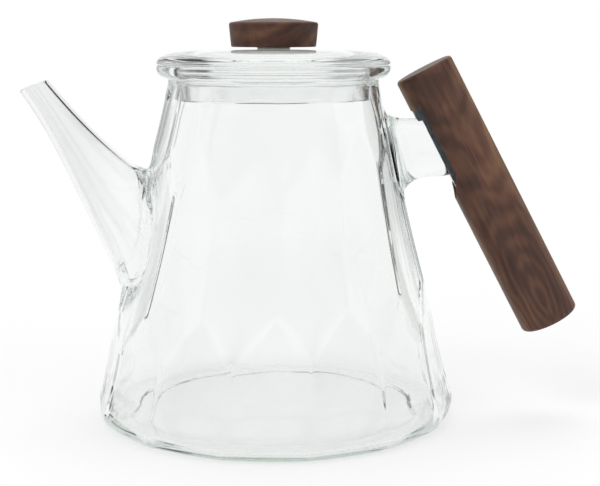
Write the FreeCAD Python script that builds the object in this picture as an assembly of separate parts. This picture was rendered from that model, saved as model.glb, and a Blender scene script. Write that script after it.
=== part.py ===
"""Glass teapot with a walnut handle and a lift-off glass lid, in millimetres.

The origin is the centre of the foot, on the surface that the pot stands on.
+Z is up, +X points to the handle and -X to the spout.
The vessel is three pieces of fused glass: the faceted body, the spout and the handle bracket.
The handle is a turned walnut bar, with a flat and a slot that are bonded over the bracket's tongue.
The lid is a thick glass disc with a skirt, and a walnut knob bonded to it by a brass insert.
"""
import FreeCAD
import Part
import math
import os

Vector = FreeCAD.Vector

# Body: a straight cone of glass, pressed into tall six-sided facets
FOOT_RADIUS = 69.0
NECK_RADIUS = 38.6
NECK_HEIGHT = 124.0
WALL = 2.4
FLOOR = 2.6
HEEL_FILLET = 6.0
INNER_HEEL_FILLET = 3.4
FOOT_RECESS_RADIUS = 52.0
FOOT_RECESS_DEPTH = 0.6

# Facets: three rows, each half a facet round from the next, between zigzag ridges.
# A drop is a distance down from the neck, so what is on the upper part of a taller pot moves up with it
FACET_COLUMNS = 14
FACET_START_ANGLE = -79.5
FACET_LEAN_PER_MM = 0.085
UPPER_ZIGZAG_DROP = 26.8
LOWER_ZIGZAG_HEIGHT = 40.7
ZIGZAG_RISE = 14.7
RIDGE_ROUNDING = 0.15

# Mouth and rolled rim
MOUTH_RADIUS = 35.6
MOUTH_DEPTH = 5.0
MOUTH_CHAMFER = 0.8
NECK_TAPER = 7.0
RIM_RADIUS = 42.8
RIM_THICKNESS = 4.75
RIM_ROUNDING = 3.6
RIM_EDGE_ROUNDING = 0.6
RIM_COVE = 0.5
NECK_COLLAR = 1.75

# Spout: a trumpet of round sections. Each has its drop, its reach from the ridges, its radius and its tilt
SPOUT_WALL = 1.7
SPOUT_ROOT_DROP = 61.0
SPOUT_ROOT_REACH = -10.6
SPOUT_ROOT_RADIUS = 23.0
SPOUT_ROOT_TILT = 66.0
SPOUT_THROAT_DROP = 33.5
SPOUT_THROAT_REACH = 18.2
SPOUT_THROAT_RADIUS = 11.1
SPOUT_THROAT_TILT = 49.5
SPOUT_WAIST_DROP = 14.4
SPOUT_WAIST_REACH = 36.1
SPOUT_WAIST_RADIUS = 6.7
SPOUT_WAIST_TILT = 35.0
SPOUT_TIP_DROP = 0.9
SPOUT_TIP_REACH = 49.2
SPOUT_TIP_RADIUS = 5.6
SPOUT_TIP_TILT = 22.0

# Handle: a turned bar that leans in at the top, with a flat and a slot milled on its inner side
HANDLE_RADIUS = 11.0
HANDLE_LENGTH = 105.4
HANDLE_LEAN = 27.7
HANDLE_MIDDLE_DROP = 41.6
HANDLE_STANDOFF = 30.3
HANDLE_END_ROUNDING = 1.1
SLOT_START = 11.8
SLOT_LENGTH = 36.5
SLOT_WIDTH = 12.0
SLOT_DEPTH = 11.0
FLAT_DEPTH = 3.7
FLAT_RUN_OUT = 8.0

# Bracket: a flat glass neck from the wall to a tongue in the slot
BRACKET_ROOT_DROP = 12.8
BRACKET_ROOT_HEIGHT = 28.7
BRACKET_ROOT_THICKNESS = 12.0
BRACKET_ROOT_DEPTH = 6.0
BRACKET_NECK_LENGTH = 23.2
BRACKET_NECK_THICKNESS = 8.6
TONGUE_NOTCH = 4.4
BOND_LINE = 0.7
BOND_RECESS = 2.0
BOND_INSET = 0.3
BEAD_RECESS = 0.5

# Lid: a thick disc that sits on the rim, with a skirt in the mouth
LID_RADIUS = 42.7
LID_EDGE_THICKNESS = 5.4
LID_EDGE_SPREAD = 16.0
LID_EDGE_LAND = 0.8
LID_EDGE_ROUNDING = 0.6
LID_CROWN = 0.25
LID_PLATE = 8.15
SKIRT_CLEARANCE = 0.6
SKIRT_WALL = 1.6
SKIRT_DEPTH = 12.6
SKIRT_ROUNDING = 0.7
SKIRT_ROOT_FILLET = 1.5

# Knob, its brass insert and the adhesive under it
KNOB_BASE_RADIUS = 15.5
KNOB_TOP_RADIUS = 16.3
KNOB_SIDE_HEIGHT = 8.7
KNOB_CROWN = 1.6
KNOB_EDGE_ROUNDING = 0.8
INSERT_RADIUS = 4.2
INSERT_LENGTH = 6.5
COLLAR_RADIUS = 6.2
COLLAR_THICKNESS = 0.4
KNOB_BOND_RADIUS = 6.0
KNOB_BOND_THICKNESS = 0.35

# How far the handles of a Bezier curve reach, as a share of its sides, to draw a quarter of an ellipse
QUARTER_ROUND_PULL = 0.5523

# What follows from the sizes above
RIM_BOTTOM = NECK_HEIGHT + NECK_COLLAR
RIM_TOP = RIM_BOTTOM + RIM_THICKNESS
SKIRT_RADIUS = MOUTH_RADIUS - SKIRT_CLEARANCE
LID_SHOULDER = RIM_TOP + LID_EDGE_THICKNESS
LID_TOP = LID_SHOULDER + LID_CROWN
LID_UNDERSIDE = LID_TOP - LID_PLATE
COLLAR_BOTTOM = LID_TOP + KNOB_BOND_THICKNESS
KNOB_BOTTOM = COLLAR_BOTTOM + COLLAR_THICKNESS
HANDLE_MIDDLE_HEIGHT = NECK_HEIGHT - HANDLE_MIDDLE_DROP
HANDLE_DOWN = Vector(math.sin(math.radians(HANDLE_LEAN)), 0, -math.cos(math.radians(HANDLE_LEAN)))
HANDLE_IN = Vector(-math.cos(math.radians(HANDLE_LEAN)), 0, -math.sin(math.radians(HANDLE_LEAN)))
SLOT_BOTTOM = HANDLE_RADIUS - SLOT_DEPTH
FLAT_BOTTOM = HANDLE_RADIUS - FLAT_DEPTH
BOND_TOP = HANDLE_RADIUS - BOND_RECESS
BEAD_TOP = HANDLE_RADIUS - BEAD_RECESS
TONGUE_START = SLOT_START + TONGUE_NOTCH
TONGUE_LENGTH = SLOT_LENGTH - TONGUE_NOTCH - BOND_LINE
NECK_END = TONGUE_START + BRACKET_NECK_LENGTH
FACET_STEP = 360.0 / FACET_COLUMNS
UPPER_ZIGZAG_HEIGHT = NECK_HEIGHT - UPPER_ZIGZAG_DROP
FACET_ROWS = (
    (RIM_BOTTOM, UPPER_ZIGZAG_HEIGHT + ZIGZAG_RISE / 2),
    (UPPER_ZIGZAG_HEIGHT - ZIGZAG_RISE / 2, LOWER_ZIGZAG_HEIGHT + ZIGZAG_RISE / 2),
    (LOWER_ZIGZAG_HEIGHT - ZIGZAG_RISE / 2, 0.0),
)


def revolved(wire):
    """A solid of revolution about Z from a closed outline."""
    return Part.Face(wire).revolve(Vector(0, 0, 0), Vector(0, 0, 1), 360)


def turned(*profile):
    """A solid of revolution about Z from (radius, height) corners."""
    corners = [Vector(radius, 0, height) for radius, height in profile]
    return revolved(Part.makePolygon(corners + corners[:1]))


def rounded(solid, *corners):
    """The turned solid with a fillet on the round edge at each (radius, height, fillet)."""
    for radius, height, fillet in corners:
        edges = [
            edge
            for edge in solid.Edges
            if not edge.Degenerated
            and isinstance(edge.Curve, Part.Circle)
            and abs(edge.Curve.Radius - radius) < 1e-3
            and abs(edge.Curve.Center.z - height) < 1e-3
        ]
        solid = solid.makeFillet(fillet, edges)
    return solid


def dome_radius(edge_radius, crown):
    """The radius of a shallow dome that rises by a crown from an edge to the axis."""
    return (edge_radius**2 + crown**2) / (2 * crown)


def crowned(solid, edge_radius, edge_height, crown):
    """The turned solid under a shallow dome that rises by a crown from an edge to the axis."""
    radius = dome_radius(edge_radius, crown)
    return solid.common(Part.makeSphere(radius, Vector(0, 0, edge_height + crown - radius)))


def ridge_radius(height):
    """How far the ridges between the facets stand from the axis at a height."""
    return FOOT_RADIUS - (FOOT_RADIUS - NECK_RADIUS) * height / NECK_HEIGHT


def row_angle(row):
    """Where the first ridge of a row stands, in degrees about Z: every second row is half a facet round."""
    middle = sum(FACET_ROWS[row]) / 2
    return FACET_START_ANGLE + FACET_LEAN_PER_MM * middle - FACET_STEP / 2 * (row % 2)


def ridge_point(row, column, height):
    """A point on a ridge of a row."""
    angle = math.radians(row_angle(row) + FACET_STEP * column)
    radius = ridge_radius(height)
    return Vector(radius * math.cos(angle), radius * math.sin(angle), height)


def flat(*corners):
    """A flat face with these corners."""
    return Part.Face(Part.makePolygon(list(corners) + [corners[0]]))


def facet_faces():
    """The flat panels of all facets: an upright panel each, and a triangle in each pointed end."""
    faces = []
    for row, (top, bottom) in enumerate(FACET_ROWS):
        for column in range(FACET_COLUMNS):
            corners = ((column, top), (column + 1, top), (column + 1, bottom), (column, bottom))
            faces.append(flat(*[ridge_point(row, side, height) for side, height in corners]))
    for row in range(len(FACET_ROWS) - 1):
        high = FACET_ROWS[row][1]
        low = FACET_ROWS[row + 1][0]
        shift = math.ceil((row_angle(row) - row_angle(row + 1)) / FACET_STEP)
        for column in range(FACET_COLUMNS):
            above = [ridge_point(row, column + side, high) for side in (0, 1)]
            below = [ridge_point(row + 1, column + side, low) for side in (0, 1)]
            faces.append(flat(*above, ridge_point(row + 1, column + shift, low)))
            faces.append(flat(*below, ridge_point(row, column + 1 - shift, high)))
    return faces


def faceted_cone():
    """The closed solid inside all the facets."""
    faces = facet_faces()
    for row, height in ((0, RIM_BOTTOM), (len(FACET_ROWS) - 1, 0.0)):
        faces.append(flat(*[ridge_point(row, column, height) for column in range(FACET_COLUMNS)]))
    shell = Part.Shell(faces)
    shell.sewShape()
    solid = Part.Solid(shell)
    if solid.Volume < 0:
        solid.reverse()
    return solid


def body_outside():
    """The filled outer shape of the body: facets trimmed by a round heel, and a round neck and rim."""
    foot = ridge_radius(0) - RIDGE_ROUNDING
    top = ridge_radius(RIM_BOTTOM) - RIDGE_ROUNDING
    blank = turned((0, 0), (foot, 0), (top, RIM_BOTTOM), (0, RIM_BOTTOM))
    blank = rounded(blank, (foot, 0, HEEL_FILLET))
    taper_start = NECK_HEIGHT - NECK_TAPER
    neck = turned(
        (0, taper_start),
        (ridge_radius(taper_start) * math.cos(math.radians(FACET_STEP / 2)), taper_start),
        (NECK_RADIUS, NECK_HEIGHT),
        (NECK_RADIUS, RIM_BOTTOM),
        (RIM_RADIUS, RIM_BOTTOM),
        (RIM_RADIUS, RIM_TOP),
        (0, RIM_TOP),
    )
    neck = rounded(
        neck,
        (NECK_RADIUS, RIM_BOTTOM, RIM_COVE),
        (RIM_RADIUS, RIM_BOTTOM, RIM_ROUNDING),
        (RIM_RADIUS, RIM_TOP, RIM_EDGE_ROUNDING),
    )
    return faceted_cone().common(blank).fuse(neck).removeSplitter()


def body_cavity():
    """The space inside the body, up through the mouth."""
    level_wall = WALL / math.cos(math.atan2(FOOT_RADIUS - NECK_RADIUS, NECK_HEIGHT))
    floor_radius = ridge_radius(FLOOR) * math.cos(math.radians(FACET_STEP / 2)) - level_wall
    cavity = turned(
        (0, FLOOR),
        (floor_radius, FLOOR),
        (MOUTH_RADIUS, RIM_TOP - MOUTH_DEPTH),
        (MOUTH_RADIUS, RIM_TOP - MOUTH_CHAMFER),
        (MOUTH_RADIUS + MOUTH_CHAMFER, RIM_TOP),
        (0, RIM_TOP),
    )
    return rounded(cavity, (floor_radius, FLOOR, INNER_HEEL_FILLET))


def body_shell(outside):
    """The blown body, with its mouth, its pouring hole and a shallow recess under the foot."""
    recess = Part.makeCylinder(FOOT_RECESS_RADIUS, FOOT_RECESS_DEPTH)
    return outside.cut(body_cavity()).cut(recess).cut(spout_form(SPOUT_WALL))


def spout_section(drop, reach, radius, tilt):
    """A circle across the spout in four arcs, in a plane that is tilted from level about Y."""
    height = NECK_HEIGHT - drop
    centre = Vector(-(ridge_radius(height) + reach), 0, height)
    along = Vector(math.cos(math.radians(tilt)), 0, math.sin(math.radians(tilt)))

    def point(degrees):
        angle = math.radians(degrees)
        return centre + along * (radius * math.cos(angle)) + Vector(0, radius * math.sin(angle), 0)

    arcs = [Part.Arc(point(start), point(start + 45), point(start + 90)) for start in (0, 90, 180, 270)]
    return Part.Wire([arc.toShape() for arc in arcs])


def spout_form(inset):
    """The solid trumpet of the spout, drawn in by an inset: none for its outside, its wall for its bore."""
    sections = (
        (SPOUT_ROOT_DROP, SPOUT_ROOT_REACH, SPOUT_ROOT_RADIUS - inset, SPOUT_ROOT_TILT),
        (SPOUT_THROAT_DROP, SPOUT_THROAT_REACH, SPOUT_THROAT_RADIUS - inset, SPOUT_THROAT_TILT),
        (SPOUT_WAIST_DROP, SPOUT_WAIST_REACH, SPOUT_WAIST_RADIUS - inset, SPOUT_WAIST_TILT),
        (SPOUT_TIP_DROP, SPOUT_TIP_REACH, SPOUT_TIP_RADIUS - inset, SPOUT_TIP_TILT),
    )
    return Part.makeLoft([spout_section(*section) for section in sections], True)


def spout(outside):
    """The glass spout, its root shaped to the facets that it is fused to."""
    return spout_form(0).cut(spout_form(SPOUT_WALL)).cut(outside)


def handle_point(down, inwards):
    """A point of the handle's middle plane: so far down from its top end, and so far in from its axis."""
    reach = ridge_radius(HANDLE_MIDDLE_HEIGHT) + HANDLE_STANDOFF
    middle = Vector(reach, 0, HANDLE_MIDDLE_HEIGHT)
    return middle + HANDLE_DOWN * (down - HANDLE_LENGTH / 2) + HANDLE_IN * inwards


def obround(upper, lower, thickness):
    """A round-ended outline between two end points, across Y by a thickness."""
    along = (lower - upper).normalize()
    side = Vector(0, thickness / 2, 0)
    end = along * (thickness / 2)
    diagonal = math.sqrt(0.5)
    first = upper + end
    last = lower - end
    edges = [Part.LineSegment(first + side, last + side)]
    for centre, turn in ((last, 1), (first, -1)):
        start = centre + side * turn
        tip = centre + end * turn
        stop = centre - side * turn
        edges.append(Part.Arc(start, centre + (side + end) * (turn * diagonal), tip))
        edges.append(Part.Arc(tip, centre + (end - side) * (turn * diagonal), stop))
        if turn == 1:
            edges.append(Part.LineSegment(last - side, first - side))
    return Part.Wire([edge.toShape() for edge in edges])


def slot_block(start, length, thickness, bottom, top):
    """A round-ended block in the handle's slot, between two distances in from the handle's axis."""
    outline = obround(handle_point(start, bottom), handle_point(start + length, bottom), thickness)
    return Part.Face(outline).extrude(HANDLE_IN * (top - bottom))


def across_bar(corners):
    """A block right across the handle, from how far down it and how far in from its axis each corner is."""
    side = Vector(0, HANDLE_RADIUS, 0)
    points = [handle_point(down, inwards) - side for down, inwards in corners]
    return Part.Face(Part.makePolygon(points + points[:1])).extrude(side * 2)


def over_flat(end, top):
    """A square block over the handle's flat, from the flat's upper end to an end and a height of its own."""
    return across_bar(((SLOT_START, FLAT_BOTTOM), (end, FLAT_BOTTOM), (end, top), (SLOT_START, top)))


def handle_bar(radius):
    """A plain bar about the handle's axis."""
    return Part.makeCylinder(radius, HANDLE_LENGTH, handle_point(0, 0), HANDLE_DOWN)


def tongue():
    """The end of the bracket that fills the slot, less the bond line."""
    width = SLOT_WIDTH - 2 * BOND_LINE
    return slot_block(TONGUE_START, TONGUE_LENGTH, width, SLOT_BOTTOM + BOND_LINE, BOND_TOP)


def handle_bracket(outside):
    """The glass neck between the wall and the handle, with its tongue. Its root follows the facets."""
    root_top = NECK_HEIGHT - BRACKET_ROOT_DROP
    heights = (root_top, root_top - BRACKET_ROOT_HEIGHT)
    root_ends = [Vector(ridge_radius(height) - BRACKET_ROOT_DEPTH, 0, height) for height in heights]
    neck_downs = (TONGUE_START, NECK_END)
    neck_ends = [handle_point(down, BOND_TOP - BOND_LINE) for down in neck_downs]
    root = obround(*root_ends, BRACKET_ROOT_THICKNESS)
    neck = obround(*neck_ends, BRACKET_NECK_THICKNESS)
    return Part.makeLoft([root, neck], True, True).fuse(tongue()).cut(outside).removeSplitter()


def handle_flat():
    """What the flat takes off the bar: square at its upper end, and running out below the neck."""
    clear = 2 * HANDLE_RADIUS
    run_out = NECK_END + FLAT_RUN_OUT * (clear - FLAT_BOTTOM) / FLAT_DEPTH
    corners = ((SLOT_START, FLAT_BOTTOM), (NECK_END, FLAT_BOTTOM), (run_out, clear), (SLOT_START, clear))
    return across_bar(corners)


def handle_grip():
    """The turned walnut bar with its slot and flat."""
    bar = handle_bar(HANDLE_RADIUS)
    ends = [edge for edge in bar.Edges if isinstance(edge.Curve, Part.Circle)]
    slot = slot_block(SLOT_START, SLOT_LENGTH, SLOT_WIDTH, SLOT_BOTTOM, 2 * HANDLE_RADIUS)
    return bar.makeFillet(HANDLE_END_ROUNDING, ends).cut(slot).cut(handle_flat())


def handle_bond(bracket):
    """The adhesive: a bed in the slot, a layer on the flat beside the neck and a bead above the neck."""
    bed = slot_block(SLOT_START, SLOT_LENGTH, SLOT_WIDTH, SLOT_BOTTOM, FLAT_BOTTOM)
    over = over_flat(NECK_END, BOND_TOP).fuse(over_flat(TONGUE_START, BEAD_TOP))
    return bed.fuse(over.common(handle_bar(HANDLE_RADIUS - BOND_INSET))).cut(bracket).removeSplitter()


def lid_edge(shoulder, dome):
    """The soft edge of the lid, from its widest place up and in to the start of its dome."""
    widest = Vector(LID_RADIUS, 0, RIM_TOP + LID_EDGE_LAND)
    end = Vector(shoulder, 0, LID_SHOULDER)
    slope = Vector(1, 0, -shoulder / math.sqrt(dome**2 - shoulder**2))
    curve = Part.BezierCurve()
    curve.setPoles([
        widest,
        widest + Vector(0, 0, (end.z - widest.z) * QUARTER_ROUND_PULL),
        end + slope * (LID_EDGE_SPREAD * QUARTER_ROUND_PULL),
        end,
    ])
    return curve.toShape()


def lid_glass():
    """The lid: a thick, slightly domed disc with a soft edge and a skirt."""
    skirt_inside = SKIRT_RADIUS - SKIRT_WALL
    skirt_bottom = RIM_TOP - SKIRT_DEPTH
    shoulder = LID_RADIUS - LID_EDGE_SPREAD
    dome = dome_radius(shoulder, LID_CROWN)

    def on_dome(radius):
        return Vector(radius, 0, LID_TOP - dome + math.sqrt(dome**2 - radius**2))

    edge = lid_edge(shoulder, dome)
    crown = Part.Arc(on_dome(shoulder), on_dome(shoulder / 2), on_dome(0)).toShape()
    corners = [
        Vector(radius, 0, height)
        for radius, height in (
            (0, LID_TOP),
            (0, LID_UNDERSIDE),
            (skirt_inside, LID_UNDERSIDE),
            (skirt_inside, skirt_bottom),
            (SKIRT_RADIUS, skirt_bottom),
            (SKIRT_RADIUS, RIM_TOP),
            (LID_RADIUS, RIM_TOP),
            (LID_RADIUS, RIM_TOP + LID_EDGE_LAND),
        )
    ]
    disc = revolved(Part.Wire(Part.makePolygon(corners).Edges + [edge, crown]))
    return rounded(
        disc,
        (LID_RADIUS, RIM_TOP, LID_EDGE_ROUNDING),
        (SKIRT_RADIUS, skirt_bottom, SKIRT_ROUNDING),
        (skirt_inside, skirt_bottom, SKIRT_ROUNDING),
        (skirt_inside, LID_UNDERSIDE, SKIRT_ROOT_FILLET),
    )


def lid_knob():
    """The turned walnut knob, with a blind bore for the insert."""
    shoulder = KNOB_BOTTOM + KNOB_SIDE_HEIGHT
    flare = (KNOB_TOP_RADIUS - KNOB_BASE_RADIUS) / KNOB_SIDE_HEIGHT
    top = shoulder + KNOB_CROWN
    blank = turned(
        (0, KNOB_BOTTOM),
        (KNOB_BASE_RADIUS, KNOB_BOTTOM),
        (KNOB_TOP_RADIUS + flare * KNOB_CROWN, top),
        (0, top),
    )
    blank = crowned(blank, KNOB_TOP_RADIUS, shoulder, KNOB_CROWN)
    blank = rounded(
        blank,
        (KNOB_TOP_RADIUS, shoulder, KNOB_EDGE_ROUNDING),
        (KNOB_BASE_RADIUS, KNOB_BOTTOM, KNOB_EDGE_ROUNDING / 2),
    )
    return blank.cut(Part.makeCylinder(INSERT_RADIUS, INSERT_LENGTH, Vector(0, 0, KNOB_BOTTOM)))


def knob_insert():
    """The brass plug in the knob's bore, with a collar under the knob."""
    return turned(
        (0, COLLAR_BOTTOM),
        (COLLAR_RADIUS, COLLAR_BOTTOM),
        (COLLAR_RADIUS, KNOB_BOTTOM),
        (INSERT_RADIUS, KNOB_BOTTOM),
        (INSERT_RADIUS, KNOB_BOTTOM + INSERT_LENGTH),
        (0, KNOB_BOTTOM + INSERT_LENGTH),
    )


def knob_bond():
    """The disc of adhesive between the lid and the collar."""
    return Part.makeCylinder(KNOB_BOND_RADIUS, KNOB_BOND_THICKNESS, Vector(0, 0, LID_TOP))


outside = body_outside()
bracket = handle_bracket(outside)
pieces = {
    "body_shell": body_shell(outside),
    "spout": spout(outside),
    "handle_bracket": bracket,
    "handle_grip": handle_grip(),
    "handle_bond": handle_bond(bracket),
    "lid_glass": lid_glass(),
    "lid_knob": lid_knob(),
    "knob_insert": knob_insert(),
    "knob_bond": knob_bond(),
}
os.makedirs("parts", exist_ok=True)
for name, shape in pieces.items():
    shape.exportStep(os.path.join("parts", name + ".step"))
    print(name, "solids", len(shape.Solids), "volume", round(shape.Volume, 1), "valid", shape.isValid())
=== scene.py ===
"""Looks of a faceted glass teapot with a walnut bar handle and a walnut lid knob.

The pot stands on Z = 0 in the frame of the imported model, its handle towards +X and its spout towards -X.
Sizes of the pieces are in millimetres, as in the part. Meshes, lamps, looks and node inputs are in metres.
"""
import math

import bmesh
import bpy
from mathutils import Matrix, Vector
from mathutils.bvhtree import BVHTree


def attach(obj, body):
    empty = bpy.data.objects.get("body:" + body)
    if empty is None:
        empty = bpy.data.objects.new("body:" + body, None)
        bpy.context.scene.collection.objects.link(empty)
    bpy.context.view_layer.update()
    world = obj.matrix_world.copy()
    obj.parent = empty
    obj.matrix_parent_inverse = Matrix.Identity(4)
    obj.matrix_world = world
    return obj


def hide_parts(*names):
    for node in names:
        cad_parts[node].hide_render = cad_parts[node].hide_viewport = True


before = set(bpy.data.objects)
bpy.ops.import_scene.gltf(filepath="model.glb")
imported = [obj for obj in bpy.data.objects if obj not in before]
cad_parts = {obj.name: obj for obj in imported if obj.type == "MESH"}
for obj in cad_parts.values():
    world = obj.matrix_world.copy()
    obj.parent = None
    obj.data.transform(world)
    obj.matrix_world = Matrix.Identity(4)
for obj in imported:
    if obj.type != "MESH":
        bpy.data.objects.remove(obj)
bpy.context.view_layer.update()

MM = 0.001
HOLD = 0.35
ON_AXIS = 1e-4
LEAST_RADIUS = 1e-6
EDGE_STEPS = 3
EDGES_FROM = 40.0
MELT_LIMIT = 1.3
GLASS_CRISP = 50.0
WOOD_CRISP = 40.0
METAL_CRISP = 30.0

# Camera, as the photograph was taken
PHOTO_WIDTH = 600
FOCAL_PIXELS = 1316.0
SENSOR_WIDTH = 36.0
CAMERA_PLACE = (9.6, -485.0, 143.0)
CAMERA_PITCH = 9.2

# Light: lamps by name, place, width and height, and power. Cards seen in the glass by place and level
LAMPS = (
    ("key", (-0.7, -0.7, 1.1), (0.9, 0.7), 9.9),
    ("fill", (1.0, -0.5, 0.8), (0.8, 0.8), 4.4),
    ("top", (0.1, 0.5, 1.3), (1.0, 0.6), 6.6),
)
LAMPS_AIM = (0, 0, 0.08)
SIDE_CARDS = (
    (0.015, 0.75), (0.03, 1.0), (0.05, 1.0), (0.06, 0.05), (0.10, 0.05),
    (0.12, 1.0), (0.15, 1.0), (0.18, 0.40), (0.32, 0.40), (0.35, 1.0),
    (0.65, 1.0), (0.68, 0.02), (0.82, 0.02), (0.85, 1.0), (0.88, 1.0),
    (0.90, 0.05), (0.94, 0.05), (0.95, 1.0), (0.97, 1.0), (0.985, 0.75),
)
CAMERA_SIDE_CARDS = ((0.07, 0.45), (0.14, 1.0), (0.22, 1.0), (0.30, 0.45), (0.40, 0.45), (0.48, 1.0))
CAMERA_SIDE = (-0.6, -0.2)
ROOM_LIGHT = (0.5, 0.5, 0.5, 1.0)
WHITE = (1.0, 1.0, 1.0, 1.0)
GLASS_BOUNCES = 32

# Floor under the pot
STAGE_PROFILE = ((0, -0.02), (400, -0.02), (900, -0.02), (900, -5), (0, -5))
STAGE_SEGMENTS = 96
STAGE_COLOUR = (0.86, 0.86, 0.86, 1.0)
STAGE_ROUGHNESS = 0.9
STAGE_GLOW_REACH = (0.10, 0.42)
STAGE_GLOW_LEVELS = (0.5, 1.0)

# Glass as a material
GLASS_IOR = 1.47
GLASS_ABSORPTION = (0.54, 0.68, 0.60, 1.0)
GLASS_SHADOW = (0.90, 0.906, 0.904, 1.0)
TRAPPED_DEPTH = 8.5
CORD_TINTS = ((0.3, (0.965, 0.972, 0.968)), (0.7, (0.985, 0.99, 0.987)))
CORD_DEPTH = 0.0002
# Painted light: a nearly white glass tint from the neck's top up brightens the rim and the lid
PAINTED_RIM_LIGHT = (0.124, 0.128)
PAINTED_RIM_LIGHT_TINT = (0.998, 0.999, 0.998, 1.0)
# Painted shade: the glass tint turns greyer out along the spout, by a share
PAINTED_SPOUT_SHADE = (-0.074, -0.056)
PAINTED_SPOUT_SHADE_SHARE = 0.05
BLACK = (0.0, 0.0, 0.0, 1.0)

# Walnut, brass and adhesive as materials. A relief has a depth and a strength
WALNUT_TONES = (
    (0.26, (0.034, 0.0180, 0.0140)),
    (0.44, (0.070, 0.0330, 0.0230)),
    (0.56, (0.117, 0.0550, 0.0350)),
    (0.68, (0.182, 0.0950, 0.0500)),
    (0.84, (0.262, 0.1560, 0.0760)),
)
# Walnut turns paler towards its sides across X: partly its own tone, partly a painted sheen
WALNUT_TONE_AND_SHEEN_EDGE = (0.0075, 0.011)
WALNUT_GLOSS = 0.28
BRASS_METALLIC = 0.6
PORE_RELIEF = (0.00006, 0.6)
TURNING_RELIEF = (0.00002, 0.5)
MOTTLE_RELIEF = (0.00005, 0.5)
MID_GREYS = ((0.8, 0.8, 0.8, 1.0), (0.6, 0.6, 0.6, 1.0))

# Glass body
FOOT_RADIUS = 69.0
NECK_RADIUS = 38.6
NECK_HEIGHT = 124.0
HEEL_ROUNDING = 6.0
RECESS_RADIUS = 52.0
RECESS_DEPTH = 0.6
RECESS_EDGE = ((-1.5, 1.0), (-0.5, 0.7), (0.5, 0.2), (1.5, 0.0))
FLOOR_THICKNESS = 2.6
FLOOR_RADIUS = 65.7
INNER_HEEL_ROUNDING = 3.4
MOUTH_RADIUS = 35.6
MOUTH_BOTTOM = 125.5
MOUTH_ROUNDING = 1.2
RIM_RADIUS = 42.8
RIM_BOTTOM = 125.75
RIM_TOP = 130.5
RIM_ROUNDING = 3.6
RIM_EDGE_ROUNDING = 0.6
RIM_COVE = 0.5
BODY_SEGMENTS = 252
BODY_ROW = 1.35
CAVITY_SEGMENTS = 224
CAVITY_ROW = 2.0
CAVITY_ABOVE = 1.0

# Facets. A row's bow has the height of its middle and its rate
FACETS_ROUND = 14
FIRST_RIDGE = -79.5
RIDGE_LEAN = 0.085
UPPER_ZIGZAG = 97.2
LOWER_ZIGZAG = 40.7
FACET_BOWS = ((118.0 * MM, 2.0), (68.9 * MM, 1.25), (18.0 * MM, 2.86))
RIDGE_DROP = 0.573
FLOOR_STAYS_FLAT = (30.0, 50.0)
RIDGE_CROWDING = 0.85

# Spout: height, distance from the axis of the pot, radius and tilt of its sections
SPOUT_SECTIONS = (
    (63.0, 42.95, 23.0, 66.0),
    (90.5, 65.01, 11.1, 49.5),
    (109.6, 78.23, 6.7, 35.0),
    (123.1, 88.02, 5.6, 22.0),
)
SPOUT_WALL = 1.7
SPOUT_ROOT_DEPTH = 6.0
SPOUT_ROOT_TAPER = 0.9
SPOUT_RINGS = 72
SPOUT_SEGMENTS = 96
LIP_ROUNDING = 0.8
BORE_END = 1.04
BORE_FLARE = 0.7
SPOUT_WELD = 7.0
BORE_WELD = 2.4

# Handle and bracket
HANDLE_LEAN = 27.7
HANDLE_MIDDLE = (79.1, 0.0, 82.4)
HANDLE_RADIUS = 11.0
HANDLE_LENGTH = 105.4
HANDLE_END_ROUNDING = 1.3
HANDLE_ROW = 4.0
HANDLE_SEGMENTS = 128
HANDLE_EDGES = 0.3
SLOT_START = 11.8
SLOT_LENGTH = 36.5
SLOT_WIDTH = 12.0
SLOT_DEPTH = 11.0
FLAT_DEPTH = 3.7
FLAT_RUN_OUT = 8.0
TONGUE_START = 16.2
TONGUE_LENGTH = 31.4
TONGUE_WIDTH = 10.6
TONGUE_BOTTOM = 0.7
TONGUE_TOP = 9.0
TONGUE_EDGES = 0.5
BRACKET_TOP = 111.2
BRACKET_HEIGHT = 28.7
BRACKET_ROOT_THICKNESS = 12.0
BRACKET_ROOT_DEPTH = 6.0
BRACKET_NECK_LENGTH = 23.2
BRACKET_NECK_THICKNESS = 8.6
BRACKET_RINGS = 28
BRACKET_WAIST = 0.16
BRACKET_ARCH = 2.2
BRACKET_ARCH_WAY = (-0.35, 0, 1)
BRACKET_WELD = 6.0

# Lid and knob
LID_RADIUS = 42.7
LID_SHOULDER = 135.9
LID_TOP = 136.15
LID_UNDERSIDE = 128.0
LID_GAP = 0.12
LID_EDGE_SPREAD = 16.0
LID_EDGE_LAND = 0.8
LID_EDGE_ROUNDING = 0.6
LID_EDGE_PULL = 0.5523
LID_EDGE_STEPS = 60
LID_DOME_STEPS = 24
LID_SEGMENTS = 288
SEAT_FILLET = 1.0
SKIRT_RADIUS = 35.0
SKIRT_WALL = 1.6
SKIRT_BOTTOM = 117.9
SKIRT_ROUNDING = 0.75
SKIRT_ROOT_FILLET = 1.5
KNOB_BOTTOM = 136.9
KNOB_BASE_RADIUS = 15.5
KNOB_TOP_RADIUS = 16.3
KNOB_SHOULDER = 145.6
KNOB_TOP = 147.2
KNOB_ROUNDING = 1.0
KNOB_SIDE_HOLDS = (3.0, 2.0)
KNOB_EDGE_STEPS = 8
KNOB_CROWN_STEPS = 16
KNOB_SEGMENTS = 160
INSERT_RADIUS = 4.2
INSERT_TOP = 143.4
INSERT_FIT = 0.05
INSERT_SEGMENTS = 90
COLLAR_RADIUS = 6.2
COLLAR_BOTTOM = 136.5
COLLAR_LOWER_EDGE = (0.15, 0.12)
COLLAR_UPPER_EDGE = (0.1, 0.08)
KNURL_TEETH = 30
KNURL_DEPTH = 0.35
TOOTH_WIDTH = 0.7
TOOTH_SINK = 0.15
TOOTH_MARGIN = 0.2


# Mesh helpers


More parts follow.
